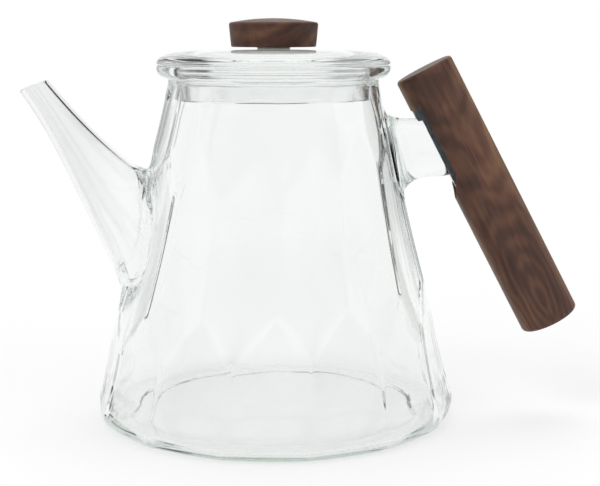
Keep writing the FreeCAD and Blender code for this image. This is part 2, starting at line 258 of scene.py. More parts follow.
def new_piece(name, mesh):
    """An object at the origin that holds a mesh."""
    piece = bpy.data.objects.new(name, mesh)
    bpy.context.scene.collection.objects.link(piece)
    return piece


def mesh_from(name, vertices, faces):
    """A closed mesh from points in millimetres, its normals outwards."""
    mesh = bpy.data.meshes.new(name)
    mesh.from_pydata([Vector(point) * MM for point in vertices], [], faces)
    work = bmesh.new()
    work.from_mesh(mesh)
    bmesh.ops.recalc_face_normals(work, faces=work.faces)
    work.to_mesh(mesh)
    work.free()
    return mesh


def arc(centre, radius, start, end, steps):
    """Points (radius, height) of an arc about a centre, from one angle to another in degrees above level."""
    angles = [math.radians(start + (end - start) * step / steps) for step in range(steps + 1)]
    return [(centre[0] + radius * math.cos(a), centre[1] + radius * math.sin(a)) for a in angles]


def divided(profile, length):
    """The profile with points added so that no run is longer than a length."""
    points = [profile[0]]
    for first, last in zip(profile, profile[1:]):
        steps = max(1, math.ceil(math.dist(first, last) / length))
        for step in range(1, steps + 1):
            points.append(tuple(a + (b - a) * step / steps for a, b in zip(first, last)))
    return points


def held(profile):
    """The profile with a point close to each end of a long straight run, so that its shading stays flat."""
    points = [profile[0]]
    for first, last in zip(profile, profile[1:]):
        length = math.dist(first, last)
        shares = (HOLD / length, 1 - HOLD / length) if length > 4 * HOLD else ()
        points += [tuple(a + (b - a) * share for a, b in zip(first, last)) for share in shares]
        points.append(last)
    return points


def even_columns(segments):
    """Columns evenly round a turned mesh."""
    return lambda column, height: 2 * math.pi * column / segments


def ridge_columns(segments):
    """Columns that lean with the ridges of the facets and crowd towards them."""
    each = segments // (2 * FACETS_ROUND)

    def angle_at(column, height):
        ridge, place = divmod(column, each)
        share = place / each
        share -= RIDGE_CROWDING * math.sin(2 * math.pi * share) / (2 * math.pi)
        return math.radians(FIRST_RIDGE + RIDGE_LEAN * height) + (ridge + share) * math.pi / FACETS_ROUND

    return angle_at


def lathe(name, profile, segments, columns=even_columns):
    """A turned mesh about Z from (radius, height) points that start and end on the axis."""
    vertices = []
    rings = []
    angle_at = columns(segments)
    for radius, height in held(profile):
        if radius < ON_AXIS:
            rings.append([len(vertices)] * segments)
            vertices.append((0, 0, height))
            continue
        rings.append([len(vertices) + k for k in range(segments)])
        for k in range(segments):
            angle = angle_at(k, height)
            vertices.append((radius * math.cos(angle), radius * math.sin(angle), height))
    faces = []
    for lower, upper in zip(rings, rings[1:]):
        for k in range(segments):
            after = (k + 1) % segments
            corners = tuple(dict.fromkeys((lower[k], lower[after], upper[after], upper[k])))
            if len(corners) > 2:
                faces.append(corners)
    return mesh_from(name, vertices, faces)


def loft(name, rings):
    """A closed mesh through rings of points, with a fan of faces over each end."""
    count = len(rings[0])
    vertices = [point for ring in rings for point in ring]
    faces = []
    for row in range(len(rings) - 1):
        first = row * count
        for k in range(count):
            after = (k + 1) % count
            faces.append((first + k, first + after, first + count + after, first + count + k))
    for ring, first in ((rings[0], 0), (rings[-1], len(vertices) - count)):
        middle = len(vertices)
        vertices.append(sum((Vector(point) for point in ring), Vector()) / count)
        faces += [(first + k, first + (k + 1) % count, middle) for k in range(count)]
    return mesh_from(name, vertices, faces)


def settle(piece):
    """Turns the piece's modifiers into plain mesh."""
    graph = bpy.context.evaluated_depsgraph_get()
    mesh = bpy.data.meshes.new_from_object(piece.evaluated_get(graph))
    piece.modifiers.clear()
    piece.data = mesh


def combine(piece, operation, tool):
    """Joins another closed piece to this one, or cuts it out of it. The other piece is used up."""
    modifier = piece.modifiers.new("combine", "BOOLEAN")
    modifier.operation = operation
    modifier.solver = "MANIFOLD"
    modifier.object = tool
    settle(piece)
    bpy.data.objects.remove(tool)
    return piece


def bevel(piece, width):
    """A small round on every sharp edge."""
    modifier = piece.modifiers.new("round", "BEVEL")
    modifier.width = width * MM
    modifier.segments = EDGE_STEPS
    modifier.limit_method = "ANGLE"
    modifier.angle_limit = math.radians(EDGES_FROM)
    settle(piece)


def finish(piece, material, crisp):
    """One material all over, and smooth shading with edges sharper than an angle left crisp."""
    piece.data.materials.clear()
    piece.data.materials.append(material)
    piece.data.shade_smooth()
    piece.data.set_sharp_from_angle(angle=math.radians(crisp))


def surface_of(piece):
    """The piece's surface, to measure distances from."""
    mesh = piece.data
    return BVHTree.FromPolygons([v.co for v in mesh.vertices], [tuple(p.vertices) for p in mesh.polygons])


def melt(piece, other, reach):
    """Swells the piece's surface where it nears another's, as hot glass does at a weld."""
    reach *= MM
    moves = {}
    for vertex in piece.data.vertices:
        place, normal, _, distance = other.find_nearest(vertex.co, 2 * reach)
        if place is None:
            continue
        depth = distance if (vertex.co - place).dot(normal) > 0 else -distance
        near = min(max(reach - depth, 0.0), MELT_LIMIT * reach)
        moves[vertex.index] = vertex.normal * (near * near / (4 * reach))
    for index, move in moves.items():
        piece.data.vertices[index].co += move


# Node helpers


def wire(tree, value, socket):
    """Links a socket to another, or sets a plain value on it."""
    if isinstance(value, bpy.types.NodeSocket):
        tree.links.new(value, socket)
    else:
        socket.default_value = value


def add(tree, kind, outputs=0, settings=None, **inputs):
    """A node with its settings and its inputs by name, and one of its outputs."""
    node = tree.nodes.new(kind)
    for key, value in (settings or {}).items():
        setattr(node, key, value)
    for key, value in inputs.items():
        wire(tree, value, node.inputs[key.replace("_", " ")])
    return node.outputs[outputs] if outputs is not None else node


def calc(tree, operation, *values):
    """A Math node."""
    node = tree.nodes.new("ShaderNodeMath")
    node.operation = operation
    for value, socket in zip(values, node.inputs):
        wire(tree, value, socket)
    return node.outputs[0]


def ramp(tree, factor, stops):
    """A colour ramp from (place, colour) stops."""
    node = tree.nodes.new("ShaderNodeValToRGB")
    elements = node.color_ramp.elements
    while len(elements) < len(stops):
        elements.new(0.5)
    for element, (place, colour) in zip(elements, stops):
        element.position = place
        element.color = (*colour, 1.0)
    wire(tree, factor, node.inputs[0])
    return node.outputs[0]


def fade(tree, value, start, end, first=0.0, last=1.0):
    """A value mapped smoothly from one range to another."""
    node = tree.nodes.new("ShaderNodeMapRange")
    node.interpolation_type = "SMOOTHSTEP"
    for number, socket in zip((value, start, end, first, last), node.inputs):
        wire(tree, number, socket)
    return node.outputs[0]


def product(tree, first, *others):
    """The product of two or more values."""
    for other in others:
        first = calc(tree, "MULTIPLY", first, other)
    return first


def from_axis(tree, x, y):
    """The distance from an axis, given the two places across it."""
    return calc(tree, "SQRT", calc(tree, "ADD", product(tree, x, x), product(tree, y, y)))


def blend(tree, share, first, last):
    """A colour between two colours."""
    node = add(tree, "ShaderNodeMix", None, {"data_type": "RGBA"})
    for value, socket in ((share, 0), (first, 6), (last, 7)):
        wire(tree, value, node.inputs[socket])
    return node.outputs[2]


def greys(stops):
    """The stops of a ramp from (place, level) pairs."""
    return [(place, (level,) * 3) for place, level in stops]


def new_group(name, kind, inputs, outputs):
    """A node group with named inputs (name, type, start value) and outputs (name, type)."""
    tree = bpy.data.node_groups.new(name, kind)
    for label, sort, start in inputs:
        socket = tree.interface.new_socket(label, in_out="INPUT", socket_type="NodeSocket" + sort)
        if start is not None:
            socket.default_value = start
    for label, sort in outputs:
        tree.interface.new_socket(label, in_out="OUTPUT", socket_type="NodeSocket" + sort)
    entry = tree.nodes.new("NodeGroupInput")
    leave = tree.nodes.new("NodeGroupOutput")
    return tree, entry.outputs, leave.inputs


def realized(tree, geometry, material):
    """The end of a Geometry Nodes tree: plain geometry of one material."""
    solid = add(tree, "GeometryNodeRealizeInstances", Geometry=geometry)
    return add(tree, "GeometryNodeSetMaterial", Geometry=solid, Material=material)


def grow(piece, tree, **inputs):
    """Runs a Geometry Nodes tree on a piece with its inputs set by identifier, and keeps plain mesh."""
    modifier = piece.modifiers.new(tree.name, "NODES")
    modifier.node_group = tree
    for item in tree.interface.items_tree:
        key = item.name.replace(" ", "_")
        if item.in_out == "INPUT" and key in inputs:
            modifier[item.identifier] = inputs[key]
    settle(piece)


# Materials


def new_material(name):
    """An empty node material, and its Principled shader wired to the surface."""
    material = bpy.data.materials.new(name)
    material.use_nodes = True
    tree = material.node_tree
    tree.nodes.clear()
    output = tree.nodes.new("ShaderNodeOutputMaterial")
    shader = tree.nodes.new("ShaderNodeBsdfPrincipled")
    tree.links.new(shader.outputs[0], output.inputs["Surface"])
    return material, tree, shader, output


def stretched_noise(tree, place, scale, size, detail=3.0, roughness=0.55):
    """Noise of a size, stretched by a scale along each axis."""
    mapped = add(tree, "ShaderNodeMapping", Vector=place, Scale=scale)
    return add(tree, "ShaderNodeTexNoise", Vector=mapped, Scale=size, Detail=detail, Roughness=roughness)


def new_effect(name, *inputs):
    """A shader group that puts out a colour, a roughness and a height over the surface."""
    outputs = [("Color", "Color"), ("Roughness", "Float"), ("Height", "Float")]
    return new_group(name, "ShaderNodeTree", [("Vector", "Vector", None), *inputs], outputs)


def place_effect(tree, effect, place=None, **values):
    """An effect's outputs, at the piece's own coordinates or at a place made from them."""
    if place is None:
        place = add(tree, "ShaderNodeTexCoord", "Object")
    return add(tree, "ShaderNodeGroup", None, {"node_tree": effect}, Vector=place, **values).outputs


def dress(tree, shader, given, depth, strength):
    """Gives a shader an effect's colour, roughness and relief."""
    relief = add(tree, "ShaderNodeBump", Height=given["Height"], Distance=depth, Strength=strength)
    wire(tree, given["Color"], shader.inputs["Base Color"])
    wire(tree, given["Roughness"], shader.inputs["Roughness"])
    wire(tree, relief, shader.inputs["Normal"])


def glass_striae():
    """Blown glass is never quite even: soft cords and a haze of marks. Its tint is nearly white from the
    neck's top up, a painted light on the rim and the lid, and greyer out along the spout, a painted shade.
    """
    tree, given, result = new_effect("glass_striae", ("Cord Size", "Float", 90.0), ("Haze", "Float", 0.02))
    x, _, z = add(tree, "ShaderNodeSeparateXYZ", None, Vector=given["Vector"]).outputs
    cords = stretched_noise(tree, given["Vector"], (1.0, 1.0, 0.35), given["Cord Size"], 2.0)
    marks = stretched_noise(tree, given["Vector"], (1.0, 1.0, 1.0), 260.0, 4.0)
    # Painted light: the tint turns nearly white from the neck's top up, over the rim and the lid
    tint = blend(tree, fade(tree, z, *PAINTED_RIM_LIGHT), ramp(tree, cords, CORD_TINTS), PAINTED_RIM_LIGHT_TINT)
    # Painted shade: a greyer tint out along the spout
    tint = blend(tree, fade(tree, x, *PAINTED_SPOUT_SHADE, PAINTED_SPOUT_SHADE_SHARE, 0.0), tint, BLACK)
    wire(tree, tint, result["Color"])
    wire(tree, product(tree, fade(tree, marks, 0.5, 0.8), given["Haze"]), result["Roughness"])
    wire(tree, cords, result["Height"])
    return tree


def glass(name, striae, density, cord_size, haze=0.0, ripple=0.0):
    """Clear borosilicate: thick edges darken, light passes to the floor, and trapped rays leave it."""
    material, tree, shader, output = new_material(name)
    effect = place_effect(tree, striae, Cord_Size=cord_size, Haze=haze)
    if haze and ripple:
        dress(tree, shader, effect, CORD_DEPTH, ripple)
    else:
        wire(tree, effect["Color"], shader.inputs["Base Color"])
        shader.inputs["Roughness"].default_value = 0.0
    shader.inputs["Metallic"].default_value = 0.0
    shader.inputs["Transmission Weight"].default_value = 1.0
    shader.inputs["IOR"].default_value = GLASS_IOR
    clear = add(tree, "ShaderNodeBsdfTransparent", Color=GLASS_SHADOW)
    rays = add(tree, "ShaderNodeLightPath", None).outputs
    trapped = calc(tree, "GREATER_THAN", rays["Ray Depth"], TRAPPED_DEPTH)
    mix = add(tree, "ShaderNodeMixShader", None)
    wire(tree, calc(tree, "MAXIMUM", rays["Is Shadow Ray"], trapped), mix.inputs[0])
    wire(tree, shader.outputs[0], mix.inputs[1])
    wire(tree, clear, mix.inputs[2])
    wire(tree, mix.outputs[0], output.inputs["Surface"])
    inside = add(tree, "ShaderNodeVolumeAbsorption", Color=GLASS_ABSORPTION, Density=density)
    wire(tree, inside, output.inputs["Volume"])
    return material


def walnut_figure():
    """Walnut cut along Z: soft rings about a leaning pith, streaks, open pores, and paler sides across X,
    partly the wood's own tone and partly a painted sheen.
    """
    tree, given, result = new_effect(
        "walnut_figure",
        ("Pith Place", "Vector", None),
        ("Pith Lean", "Vector", None),
        ("Ring Width", "Float", 0.004),
        ("Wander", "Float", 0.004),
        ("Pale Edge", "Float", 0.0),
        ("Shade", "Float", 0.0),
    )
    place = given["Vector"]
    from_middle = calc(tree, "ABSOLUTE", add(tree, "ShaderNodeSeparateXYZ", "X", Vector=place))
    slow = stretched_noise(tree, place, (1.0, 1.0, 0.45), 60.0)
    streaks = stretched_noise(tree, place, (1.0, 1.0, 0.06), 620.0, 4.0, 0.6)
    broad = stretched_noise(tree, place, (1.0, 1.0, 0.3), 80.0)
    pits = fade(tree, stretched_noise(tree, place, (1.0, 1.0, 0.035), 2600.0, 2.0, 0.5), 0.6, 0.72)
    leaning = add(tree, "ShaderNodeMapping", settings={"vector_type": "TEXTURE"}, Vector=place,
                  Location=given["Pith Place"], Rotation=given["Pith Lean"])
    x, y, _ = add(tree, "ShaderNodeSeparateXYZ", None, Vector=leaning).outputs
    drift = product(tree, calc(tree, "SUBTRACT", slow, 0.5), given["Wander"])
    from_pith = calc(tree, "ADD", from_axis(tree, x, y), drift)
    turns = calc(tree, "DIVIDE", from_pith, given["Ring Width"])
    rings = calc(tree, "SINE", product(tree, turns, 2 * math.pi))
    tone = calc(tree, "MULTIPLY_ADD", streaks, 0.26, calc(tree, "MULTIPLY_ADD", broad, 0.55, 0.165))
    tone = calc(tree, "MULTIPLY_ADD", rings, 0.05, tone)
    # Paler towards both sides across X: partly the wood's tone, partly a painted sheen
    tone = calc(tree, "MULTIPLY_ADD", fade(tree, from_middle, *WALNUT_TONE_AND_SHEEN_EDGE), given["Pale Edge"], tone)
    tone = calc(tree, "SUBTRACT", tone, product(tree, pits, 0.09))
    tone = calc(tree, "ADD", tone, given["Shade"])
    dull = calc(tree, "MULTIPLY_ADD", streaks, 0.16, 0.36)
    wire(tree, ramp(tree, tone, WALNUT_TONES), result["Color"])
    wire(tree, calc(tree, "MULTIPLY_ADD", pits, 0.18, dull), result["Roughness"])
    wire(tree, calc(tree, "MULTIPLY_ADD", pits, -1.0, product(tree, streaks, 0.3)), result["Height"])
    return tree


def walnut(name, figure, middle, turn, **values):
    """Oiled walnut, its grain centred on a place and turned about each axis in degrees."""
    material, tree, shader, _ = new_material(name)
    place = add(tree, "ShaderNodeTexCoord", "Object")
    centred = add(tree, "ShaderNodeMapping", settings={"vector_type": "TEXTURE"}, Vector=place,
                  Location=Vector(middle) * MM, Rotation=[math.radians(angle) for angle in turn])
    dress(tree, shader, place_effect(tree, figure, centred, **values), *PORE_RELIEF)
    shader.inputs["Specular IOR Level"].default_value = WALNUT_GLOSS
    return material


def turned_metal():
    """Fine turning marks round Z, with a little dulling."""
    bright, dull = MID_GREYS
    tree, given, result = new_effect("turned_metal", ("Bright", "Color", bright), ("Dull", "Color", dull))
    x, y, z = add(tree, "ShaderNodeSeparateXYZ", None, Vector=given["Vector"]).outputs
    polar = add(tree, "ShaderNodeCombineXYZ", X=from_axis(tree, x, y), Y=0.0, Z=z)
    marks = add(tree, "ShaderNodeTexNoise", Vector=polar, Scale=6000.0, Detail=3.0)
    dulling = add(tree, "ShaderNodeTexNoise", Vector=given["Vector"], Scale=420.0, Detail=4.0)
    share = fade(tree, dulling, 0.35, 0.7)
    rough = calc(tree, "MULTIPLY_ADD", marks, 0.14, 0.14)
    wire(tree, blend(tree, share, given["Bright"], given["Dull"]), result["Color"])
    wire(tree, calc(tree, "MULTIPLY_ADD", share, 0.18, rough), result["Roughness"])
    wire(tree, marks, result["Height"])
    return tree


def metal(name, turning, bright, dull):
    """A turned metal of two tones."""
    material, tree, shader, _ = new_material(name)
    effect = place_effect(tree, turning, Bright=(*bright, 1.0), Dull=(*dull, 1.0))
    dress(tree, shader, effect, *TURNING_RELIEF)
    shader.inputs["Metallic"].default_value = BRASS_METALLIC
    return material


def soft_mottle():
    """The faint unevenness of a cured adhesive."""
    pale, deep = MID_GREYS
    tree, given, result = new_effect("soft_mottle", ("Pale", "Color", pale), ("Deep", "Color", deep),
                                     ("Size", "Float", 300.0))
    clouds = add(tree, "ShaderNodeTexNoise", Vector=given["Vector"], Scale=given["Size"], Detail=4.0)
    wire(tree, blend(tree, fade(tree, clouds, 0.3, 0.7), given["Pale"], given["Deep"]), result["Color"])
    wire(tree, calc(tree, "MULTIPLY_ADD", clouds, 0.2, 0.25), result["Roughness"])
    wire(tree, clouds, result["Height"])
    return tree


def resin(name, mottle, pale, deep, size):
    """A cured adhesive of two tones."""
    material, tree, shader, _ = new_material(name)
    effect = place_effect(tree, mottle, Pale=(*pale, 1.0), Deep=(*deep, 1.0), Size=size)
    dress(tree, shader, effect, *MOTTLE_RELIEF)
    return material


striae = glass_striae()
figure = walnut_figure()
turning = turned_metal()
mottle = soft_mottle()
vessel_glass = glass("vessel_glass", striae, density=9.0, cord_size=60.0, haze=0.01, ripple=0.10)
lid_clear = glass("lid_clear", striae, density=1.5, cord_size=80.0)
handle_walnut = walnut("handle_walnut", figure, HANDLE_MIDDLE, (0, -HANDLE_LEAN, 0),
                       Pith_Place=(0.0, -0.011, -0.042), Pith_Lean=(math.radians(-14), 0.0, 0.0),
                       Ring_Width=0.0026, Wander=0.010, Pale_Edge=0.16, Shade=-0.07)
knob_walnut = walnut("knob_walnut", figure, (0, 0, KNOB_BOTTOM), (0, 62, 20),
                     Pith_Place=(0.03, 0.0, 0.0), Pith_Lean=(0.0, 0.0, 0.0),
                     Ring_Width=0.005, Wander=0.008, Pale_Edge=0.0, Shade=-0.06)
# The brass tones are kept dark: partly the brass's own colour, partly painted shade under the knob
brass = metal("insert_brass", turning, (0.46, 0.35, 0.15), (0.27, 0.20, 0.08))
# The adhesive in the handle's slot is near black blue-grey: partly its own tone, partly painted shade of the
# slot
bond = resin("bond_resin", mottle, (0.024, 0.033, 0.044), (0.008, 0.011, 0.016), 420.0)
pale_bond = resin("pale_resin", mottle, (0.86, 0.87, 0.86), (0.76, 0.77, 0.76), 350.0)


# Glass vessel


def facet_row():
    """One row of facets: how far the wall stands out at an angle and a height, dished between its ridges."""
    numbers = ("Angle", "Height", "Phase", "Step", "Depth", "Centre", "Curvature", "Offset", "Softness")
    inputs = [(label, "Float", 0.0) for label in numbers]
    tree, given, result = new_group("facet_row", "GeometryNodeTree", inputs, [("Press", "Float")])
    turn = calc(tree, "DIVIDE", calc(tree, "SUBTRACT", given["Angle"], given["Phase"]), given["Step"])
    swing = calc(tree, "ABSOLUTE", calc(tree, "MULTIPLY_ADD", calc(tree, "FRACT", turn), 2.0, -1.0))
    share = calc(tree, "SUBTRACT", 1.0, swing)
    softness = given["Softness"]
    squares = calc(tree, "MULTIPLY_ADD", share, share, product(tree, softness, softness))
    share = calc(tree, "SUBTRACT", calc(tree, "SQRT", squares), softness)
    dish = product(tree, given["Depth"], product(tree, share, calc(tree, "SUBTRACT", 2.0, share)))
    rise = calc(tree, "SUBTRACT", given["Height"], given["Centre"])
    bow = calc(tree, "MULTIPLY_ADD", given["Curvature"], product(tree, rise, rise), given["Offset"])
    wire(tree, calc(tree, "SUBTRACT", bow, dish), result["Press"])
    return tree


def pressed_facets():
    """Presses three rows of facets into a turned blank, each row half a facet round from the next."""
    inputs = [
        ("Geometry", "Geometry", None),
        ("Facets Round", "Int", 14),
        ("First Ridge", "Float", 0.0),
        ("Ridge Lean", "Float", 0.0),
        ("Upper Zigzag", "Float", 0.1),
        ("Lower Zigzag", "Float", 0.04),
        ("Pressing", "Float", 0.75),
        ("Ridge Softness", "Float", 0.1),
        ("Zigzag Softness", "Float", 0.0004),
        ("Tilt", "Float", 0.0),
        ("Neck Start", "Float", 0.11),
        ("Neck End", "Float", 0.12),
        ("Heel Press", "Float", 0.4),
        ("Heel Start", "Float", 0.0),
        ("Heel End", "Float", 0.01),
        ("Waviness", "Float", 0.0002),
        ("Wave Rate", "Float", 40.0),
        ("Seed", "Float", 0.0),
        ("Glass", "Material", None),
    ]
    tree, given, result = new_group("pressed_facets", "GeometryNodeTree", inputs, [("Geometry", "Geometry")])
    row_group = facet_row()
    place = add(tree, "GeometryNodeInputPosition")
    x, y, z = add(tree, "ShaderNodeSeparateXYZ", None, Vector=place).outputs
    radius = calc(tree, "MAXIMUM", from_axis(tree, x, y), LEAST_RADIUS)
    angle = calc(tree, "ARCTAN2", y, x)
    out_x = calc(tree, "DIVIDE", x, radius)
    out_y = calc(tree, "DIVIDE", y, radius)
    height = calc(tree, "SUBTRACT", z, product(tree, given["Tilt"], out_x))
    step = calc(tree, "DIVIDE", 2 * math.pi, given["Facets Round"])
    flatness = calc(tree, "SUBTRACT", 1.0, calc(tree, "COSINE", product(tree, step, 0.5)))
    depth = product(tree, radius, flatness, given["Pressing"])
    phase = calc(tree, "MULTIPLY_ADD", given["Ridge Lean"], z, given["First Ridge"])
    half_round = calc(tree, "MULTIPLY_ADD", step, -0.5, phase)

    def bow(row, at):
        """How far a row's bow has risen at a height."""
        rise = calc(tree, "SUBTRACT", at, row[0])
        return product(tree, rise, rise, row[1])

    bows = [(centre, product(tree, given["Pressing"], rate)) for centre, rate in FACET_BOWS]
    level = product(tree, given["Pressing"], -RIDGE_DROP * MM)
    upper, lower = given["Upper Zigzag"], given["Lower Zigzag"]
    offsets = (
        calc(tree, "ADD", level, calc(tree, "SUBTRACT", bow(bows[1], upper), bow(bows[0], upper))),
        level,
        calc(tree, "ADD", level, calc(tree, "SUBTRACT", bow(bows[1], lower), bow(bows[2], lower))),
    )
    press = None
    for (centre, curvature), offset, start in zip(bows, offsets, (phase, half_round, phase)):
        row = add(tree, "GeometryNodeGroup", 0, {"node_tree": row_group}, Angle=angle, Height=height,
                  Phase=start, Step=step, Depth=depth, Centre=centre, Curvature=curvature, Offset=offset,
                  Softness=given["Ridge Softness"])
        press = row if press is None else calc(tree, "SMOOTH_MIN", press, row, given["Zigzag Softness"])
    neck = fade(tree, z, given["Neck Start"], given["Neck End"], 1.0, 0.0)
    heel = fade(tree, z, given["Heel Start"], given["Heel End"], given["Heel Press"], 1.0)
    wall = fade(tree, radius, *(limit * MM for limit in FLOOR_STAYS_FLAT))
    shifted = add(tree, "ShaderNodeVectorMath", 0, {"operation": "ADD"})
    wire(tree, place, shifted.node.inputs[0])
    wire(tree, given["Seed"], shifted.node.inputs[1])
    noise = add(tree, "ShaderNodeTexNoise", Vector=shifted, Scale=given["Wave Rate"], Detail=1.0)
    wave = product(tree, calc(tree, "MULTIPLY_ADD", noise, 2.0, -1.0), given["Waviness"])
    wave = calc(tree, "SUBTRACT", wave, given["Waviness"])
    pressed = product(tree, press, product(tree, neck, heel, wall))
    move = calc(tree, "ADD", pressed, product(tree, wave, product(tree, neck, wall)))
    offset = add(tree, "ShaderNodeCombineXYZ", X=product(tree, out_x, move), Y=product(tree, out_y, move))
    moved = add(tree, "GeometryNodeSetPosition", Geometry=given["Geometry"], Offset=offset)
    wire(tree, realized(tree, moved, given["Glass"]), result["Geometry"])
    return tree


def cone_heel(radius, bottom, rounding, lean, steps):
    """The rounded lower corner of a cone wall that leans in by an angle."""
    centre = (radius - rounding * (math.tan(lean) + 1 / math.cos(lean)), bottom + rounding)
    return arc(centre, rounding, -90, math.degrees(lean), steps)


def outside_profile():
    """The outer shape of the body, from the middle of the foot to the middle of the rim's top."""
    lean = math.atan2(FOOT_RADIUS - NECK_RADIUS, NECK_HEIGHT)
    heel = cone_heel(FOOT_RADIUS, 0, HEEL_ROUNDING, lean, 16)
    foot = [(0, RECESS_DEPTH)]
    foot += [(RECESS_RADIUS + out, RECESS_DEPTH * share) for out, share in RECESS_EDGE]
    wall = divided([heel[-1], (NECK_RADIUS, NECK_HEIGHT)], BODY_ROW)[1:]
    cove = arc((NECK_RADIUS + RIM_COVE, RIM_BOTTOM - RIM_COVE), RIM_COVE, 180, 90, 6)
    bead = arc((RIM_RADIUS - RIM_ROUNDING, RIM_BOTTOM + RIM_ROUNDING), RIM_ROUNDING, -90, 0, 16)
    edge = RIM_EDGE_ROUNDING
    bead += arc((RIM_RADIUS - edge, RIM_TOP - edge), edge, 0, 90, 8)
    return foot + heel + wall + cove + bead + [(0, RIM_TOP)]


def cavity_profile():
    """The space inside the body, from the middle of its floor to above the rim."""
    lean = math.atan2(FLOOR_RADIUS - MOUTH_RADIUS, MOUTH_BOTTOM - FLOOR_THICKNESS)
    heel = cone_heel(FLOOR_RADIUS, FLOOR_THICKNESS, INNER_HEEL_ROUNDING, lean, 14)
    wall = divided([heel[-1], (MOUTH_RADIUS, MOUTH_BOTTOM)], CAVITY_ROW)[1:]
    outer = MOUTH_RADIUS + MOUTH_ROUNDING
    edge = arc((outer, RIM_TOP - MOUTH_ROUNDING), MOUTH_ROUNDING, 180, 100, 6)
    above = [(outer, RIM_TOP + CAVITY_ABOVE), (0, RIM_TOP + CAVITY_ABOVE)]
    return [(0, FLOOR_THICKNESS)] + heel + wall + edge + above


def through(knots, values, at):
    """The smooth curve through four values, at a place between their knots."""
    total = 0.0
    for knot, value in zip(knots, values):
        share = 1.0
        for other in knots:
            if other != knot:
                share *= (at - other) / (knot - other)
        total += share * value
    return total


def spout_rings(inset, end, lip):
    """Rings of the spout, drawn in by an inset, to an end along it. A lip rounds or flares the last ones."""
    centres = [(-reach, height) for height, reach, _, _ in SPOUT_SECTIONS]
    knots = [0.0]
    for first, last in zip(centres, centres[1:]):
        knots.append(knots[-1] + math.dist(first, last))
    full = knots[-1]
    stops = [full * end * k / SPOUT_RINGS for k in range(SPOUT_RINGS)]
    stops = [stop for stop in stops if stop < full - LIP_ROUNDING]
    stops += [full - LIP_ROUNDING * math.cos(math.radians(angle)) for angle in range(0, 91, 15)]
    if end > 1:
        stops.append(full * end)
    rings = []
    for stop in stops:
        height, reach, radius, tilt = (through(knots, values, stop) for values in zip(*SPOUT_SECTIONS))
        past = min(max(stop - (full - LIP_ROUNDING), 0.0), LIP_ROUNDING)
        bend = LIP_ROUNDING - math.sqrt(LIP_ROUNDING**2 - past**2)
        size = radius - inset + lip * bend
        tilt = math.radians(tilt)
        ring = []
        for k in range(SPOUT_SEGMENTS):
            angle = 2 * math.pi * k / SPOUT_SEGMENTS
            level = size * math.cos(angle)
            across = size * math.sin(angle)
            ring.append((-reach + level * math.cos(tilt), across, height + level * math.sin(tilt)))
        rings.append(ring)
    height, reach, _, tilt = SPOUT_SECTIONS[0]
    centre = Vector((-reach, 0, height))
    inwards = Vector((math.sin(math.radians(tilt)), 0, -math.cos(math.radians(tilt)))) * SPOUT_ROOT_DEPTH
    root = [centre + (Vector(point) - centre) * SPOUT_ROOT_TAPER + inwards for point in rings[0]]
    return [root] + rings


HANDLE_FRAME = Matrix.Translation(HANDLE_MIDDLE) @ Matrix.Rotation(math.radians(-HANDLE_LEAN), 4, "Y")


def handle_point(down, inwards):
    """A point of the handle's middle plane: so far down from its top end, and so far in from its axis."""
    return HANDLE_FRAME @ Vector((-inwards, 0, HANDLE_LENGTH / 2 - down))


def obround(upper, lower, thickness, steps=14):
    """A round-ended outline between two end points, across Y by a thickness."""
    along = (lower - upper).normalized()
    half = thickness / 2
    points = []
    for centre, turn in ((lower - along * half, 0), (upper + along * half, 180)):
        for step in range(steps + 1):
            angle = math.radians(90 - turn - 180 * step / steps)
            points.append(centre + along * (half * math.cos(angle)) + Vector((0, half * math.sin(angle), 0)))
    return points


def slot_block(start, length, width, bottom, top):
    """A round-ended block in the handle's slot, between two distances in from the handle's axis."""
    ends = (start, start + length)
    rings = [obround(*(handle_point(end, level) for end in ends), width) for level in (bottom, top)]
    return loft("slot_block", rings)


def flat_block():
    """What the flat takes off the handle: square at its upper end, and running out below the neck."""
    bottom = HANDLE_RADIUS - FLAT_DEPTH
    clear = 2 * HANDLE_RADIUS
    end = TONGUE_START + BRACKET_NECK_LENGTH
    run_out = end + FLAT_RUN_OUT * (clear - bottom) / FLAT_DEPTH
    corners = ((SLOT_START, bottom), (end, bottom), (run_out, clear), (SLOT_START, clear))
    sides = (Vector((0, side * clear, 0)) for side in (-1, 1))
    return loft("flat_block", [[handle_point(*corner) + side for corner in corners] for side in sides])


def bracket_rings():
    """Rings of the glass neck, from inside the wall of the body to inside the handle's slot."""
    cone = (FOOT_RADIUS - NECK_RADIUS) / NECK_HEIGHT
    heights = (BRACKET_TOP, BRACKET_TOP - BRACKET_HEIGHT)
    root = [Vector((FOOT_RADIUS - cone * height - BRACKET_ROOT_DEPTH, 0, height)) for height in heights]
    depth = TONGUE_TOP - TONGUE_BOTTOM
    neck = [handle_point(TONGUE_START + down, depth) for down in (0, BRACKET_NECK_LENGTH)]
    thinning = BRACKET_NECK_THICKNESS - BRACKET_ROOT_THICKNESS
    rings = []
    for step in range(BRACKET_RINGS + 1):
        share = step / BRACKET_RINGS
        swell = math.sin(math.pi * share) ** 2
        waist = share + BRACKET_WAIST * swell
        upper = root[0].lerp(neck[0], share)
        lower = root[1].lerp(neck[1], share)
        lower += Vector(BRACKET_ARCH_WAY) * (BRACKET_ARCH * swell)
        rings.append(obround(upper, lower, BRACKET_ROOT_THICKNESS + thinning * min(waist, 1.0)))
    return rings


